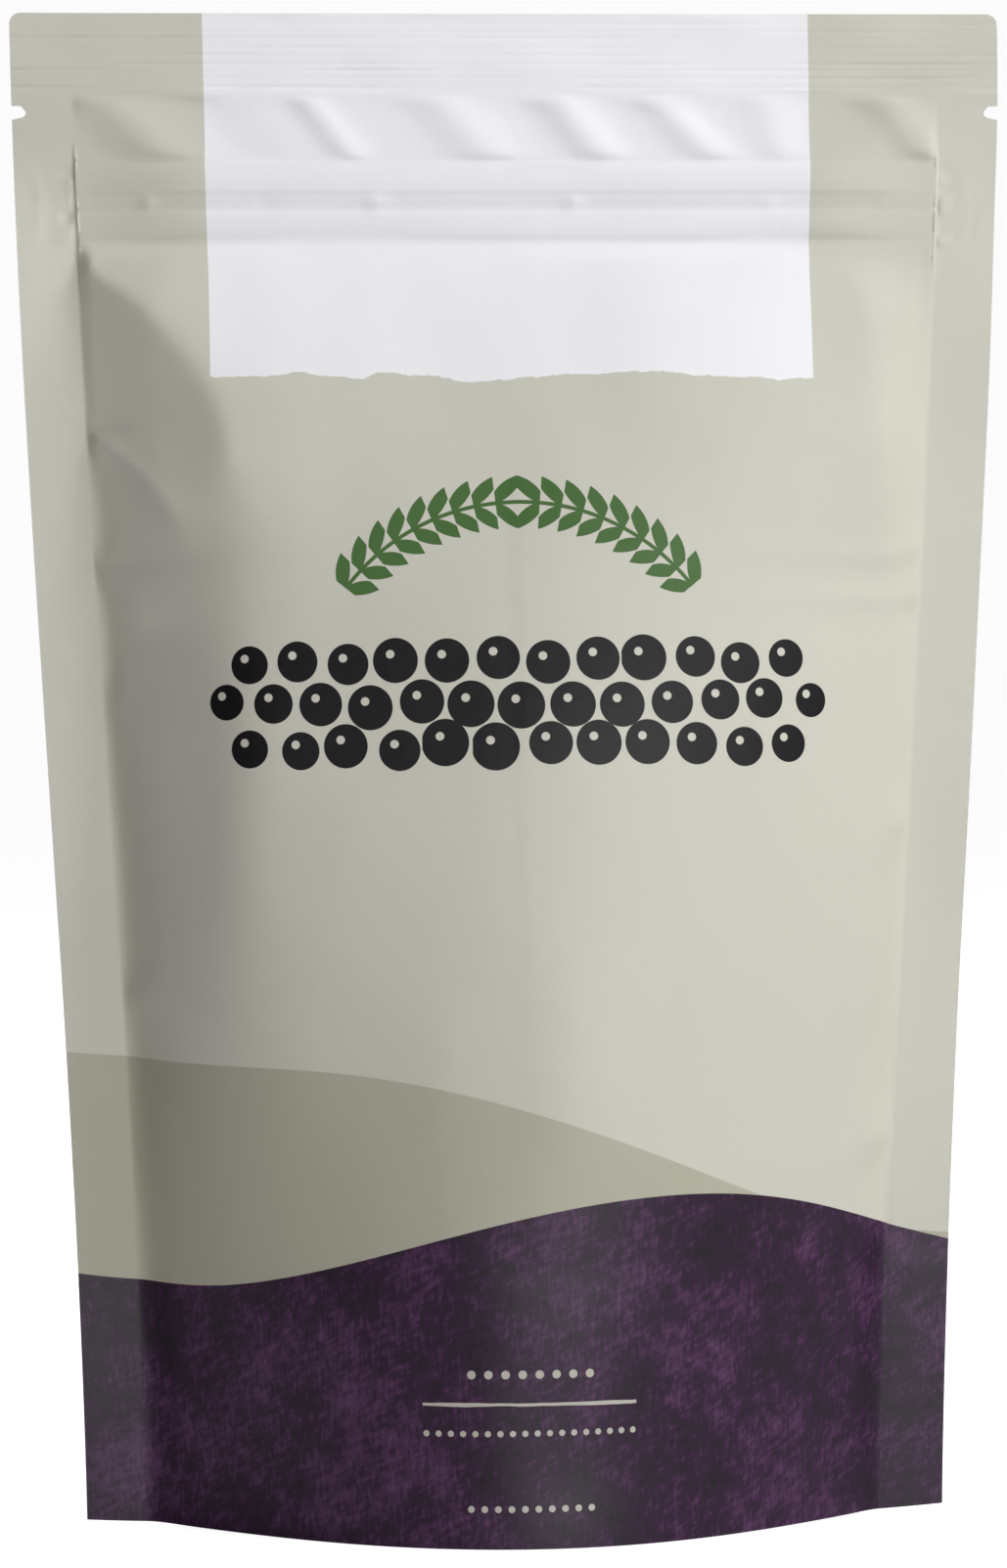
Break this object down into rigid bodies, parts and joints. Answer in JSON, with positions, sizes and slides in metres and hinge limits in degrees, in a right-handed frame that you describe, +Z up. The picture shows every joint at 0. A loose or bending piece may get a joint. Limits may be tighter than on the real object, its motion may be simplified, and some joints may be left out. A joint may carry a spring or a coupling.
{
  "type": "stand-up pouch",
  "caption": "Filled resealable stand-up pouch of dried elderberries, with fin-sealed sides, press-to-close zipper, tear notches and folded bottom gusset.",
  "frame": {"origin": "on the surface the pouch stands on, under the middle of its width and depth", "axes": "+X to the right seen from the front, +Y from the front panel to the back panel, +Z up from the surface to the top seal"},
  "size_m": [0.178, 0.0722, 0.271],
  "materials": {
    "printed_film": "matte",
    "gusset_film": "matte",
    "zipper_plastic": "satin",
    "dried_berries": "matte"
  },
  "bodies": {
    "root": {"front_panel": "printed_film", "back_panel": "printed_film", "bottom_gusset": "gusset_film", "zipper_rib_strip": "zipper_plastic", "zipper_channel_strip": "zipper_plastic", "dried_elderberries": "dried_berries"}
  },
  "joints": []
}
